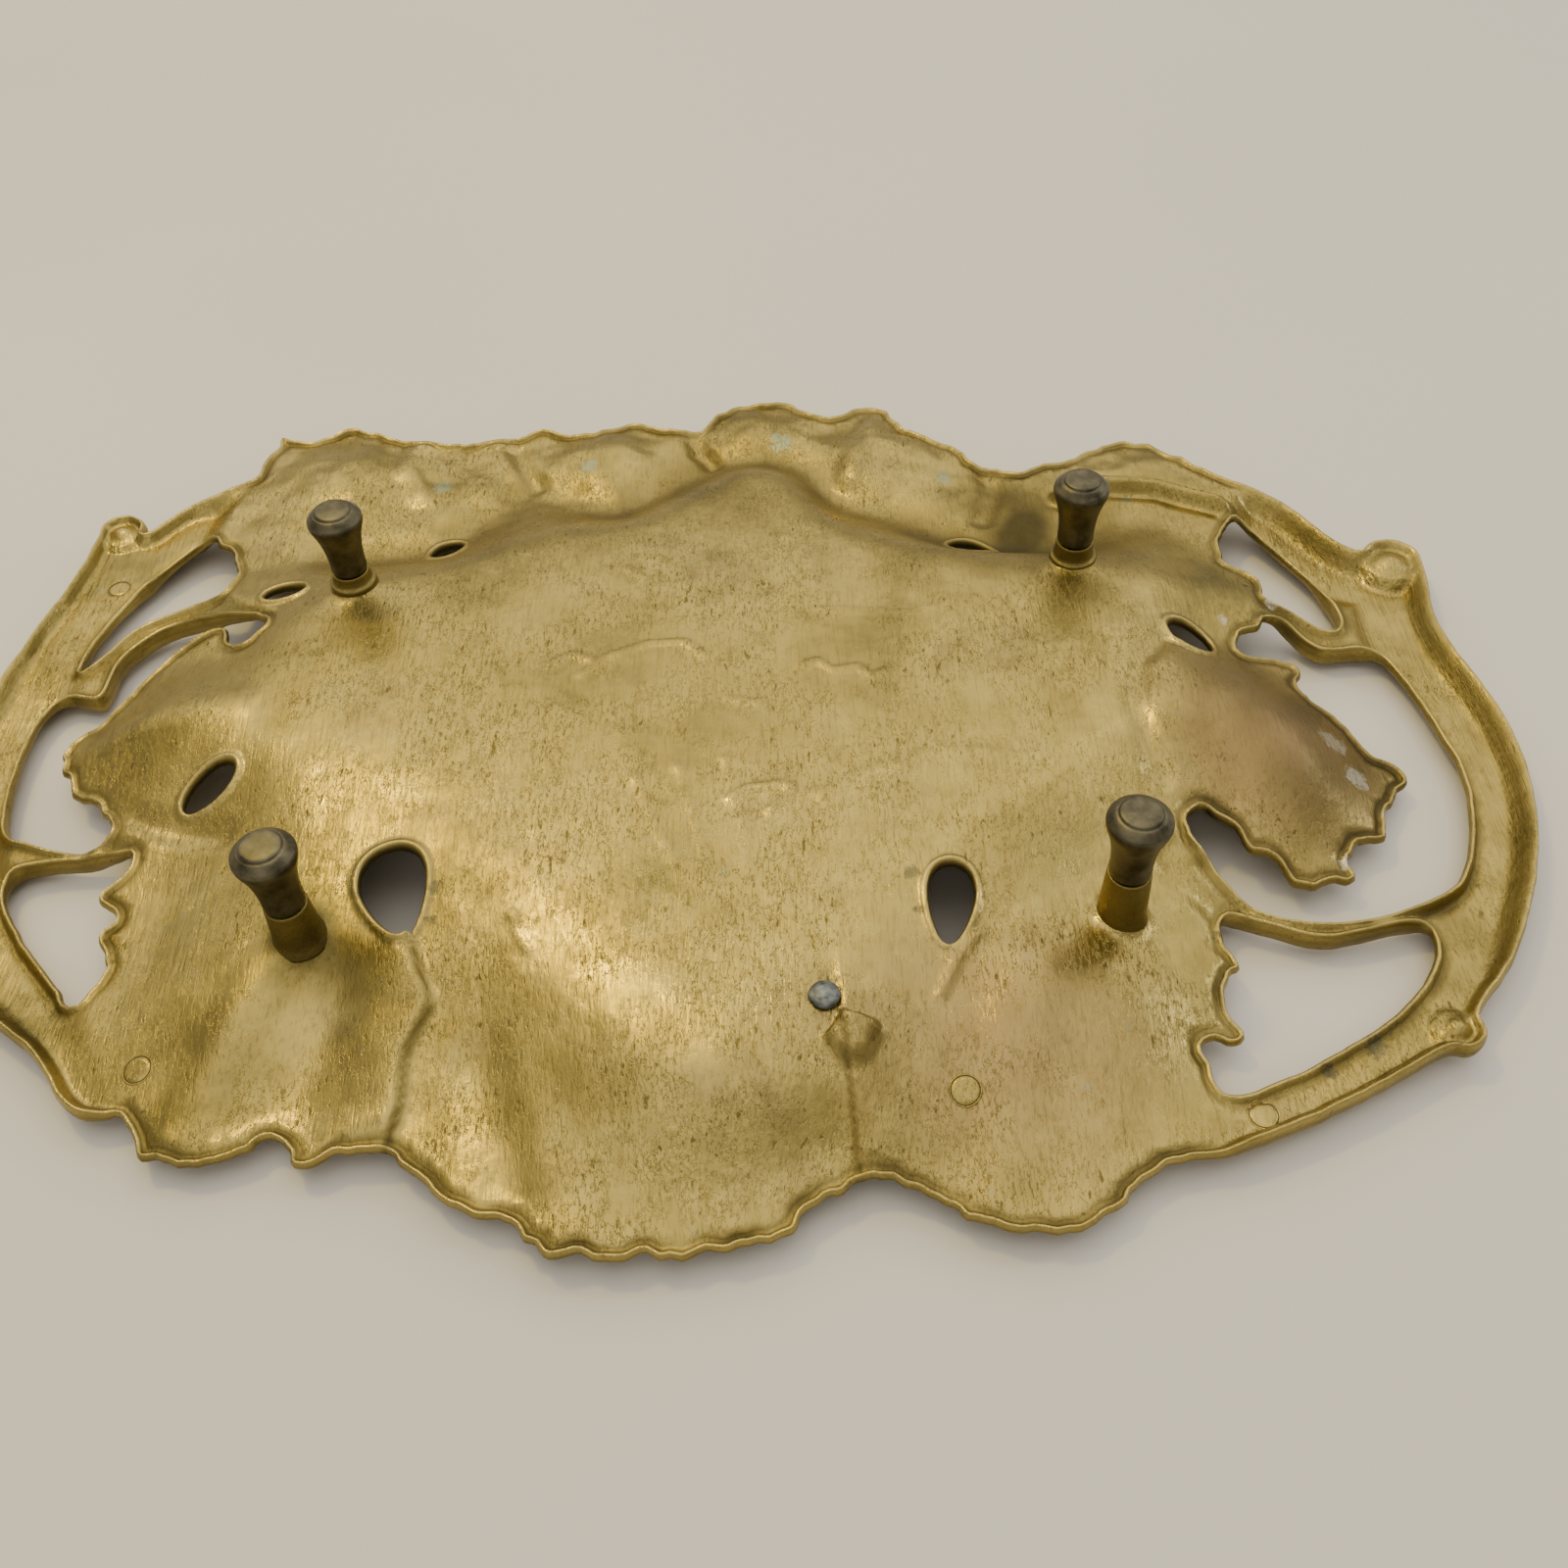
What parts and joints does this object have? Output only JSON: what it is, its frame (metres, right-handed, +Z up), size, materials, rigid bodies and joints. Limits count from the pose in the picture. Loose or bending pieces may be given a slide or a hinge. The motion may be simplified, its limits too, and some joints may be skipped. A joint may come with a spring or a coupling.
{
  "type": "footed serving tray",
  "caption": "Cast brass leaf-shaped serving tray with open branch handles tied in by stems, on turned screw-on feet; lies face down.",
  "frame": {"origin": "centre of the whole tray's box in plan, on the ground plane that the tray rests on face down", "axes": "+X to the right-hand handle, +Y to the ruffled back margin, +Z up, out of the tray's underside and along its feet; turn it 180 degrees about X to stand it on its feet"},
  "size_m": [0.416, 0.288, 0.052],
  "materials": {
    "cast_brass": "aged cast surface, satin, with olive and copper patches",
    "foot_bronze": "turned, dark olive-grey patina",
    "plug_brass": "filed flush, satin",
    "stud_steel": "plain steel rod, dull",
    "rivet_lead": "dull blue-grey soft metal"
  },
  "bodies": {
    "root": {"leaf_body": "cast_brass", "left_handle": "cast_brass", "right_handle": "cast_brass", "left_upper_stem": "cast_brass", "left_lower_stem": "cast_brass", "right_upper_stem": "cast_brass", "right_lower_stem": "cast_brass", "foot_back_left": "foot_bronze", "foot_stud_back_left": "stud_steel", "foot_back_right": "foot_bronze", "foot_stud_back_right": "stud_steel", "foot_front_left": "foot_bronze", "foot_stud_front_left": "stud_steel", "foot_front_right": "foot_bronze", "foot_stud_front_right": "stud_steel", "plug_left_handle": "plug_brass", "plug_right_handle": "plug_brass", "plug_leaf_front_left": "plug_brass", "plug_leaf_front": "plug_brass", "repair_rivet": "rivet_lead"}
  },
  "joints": []
}
